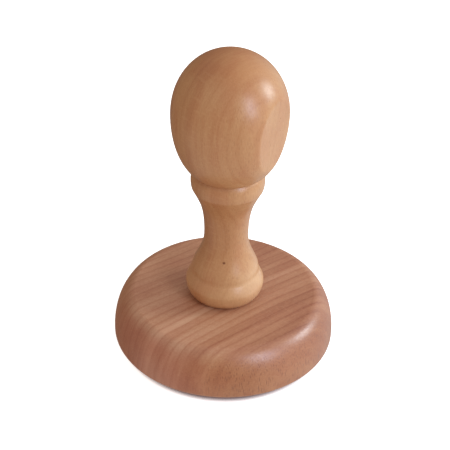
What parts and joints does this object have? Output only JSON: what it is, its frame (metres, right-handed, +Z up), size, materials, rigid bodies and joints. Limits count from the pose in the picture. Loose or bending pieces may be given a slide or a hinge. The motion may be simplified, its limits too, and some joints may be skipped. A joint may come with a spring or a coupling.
{
  "type": "rubber stamp",
  "caption": "Wooden hand stamp: an egg-shaped turned handle with a thumb flat on a round mount block, over a foam cushion and an engraved rubber printing face.",
  "frame": {"origin": "middle of the printing face, at the height of its raised design, on the handle's axis", "axes": "+Z up the handle, from the printing face to the top of the egg; -Y is the front, the side of the egg with the thumb flat"},
  "size_m": [0.075, 0.075, 0.1115],
  "materials": {
    "handle_wood": "clear gloss lacquer over yellow-tan beech",
    "block_wood": "clear satin lacquer over pink-brown steamed beech",
    "screw_steel": "zinc plated",
    "wood_glue": "dried wood glue",
    "adhesive_film": "clear pressure-sensitive adhesive",
    "cushion_foam": "matt closed-cell foam",
    "die_rubber": "matt moulded rubber"
  },
  "bodies": {
    "mount": {"mount_block": "block_wood", "handle": "handle_wood", "handle_screw": "screw_steel", "handle_glue_film": "wood_glue", "cushion_top_adhesive": "adhesive_film", "foam_cushion": "cushion_foam"},
    "die": {"rubber_die": "die_rubber", "die_adhesive": "adhesive_film"}
  },
  "joints": [
    {"name": "cushion_press", "type": "slide", "parent": "mount", "child": "die", "axis": [0, 0, 1], "range_m": [0, 0.0005], "stiffness_N_per_m": 12000, "deforming": ["foam_cushion"]}
  ]
}
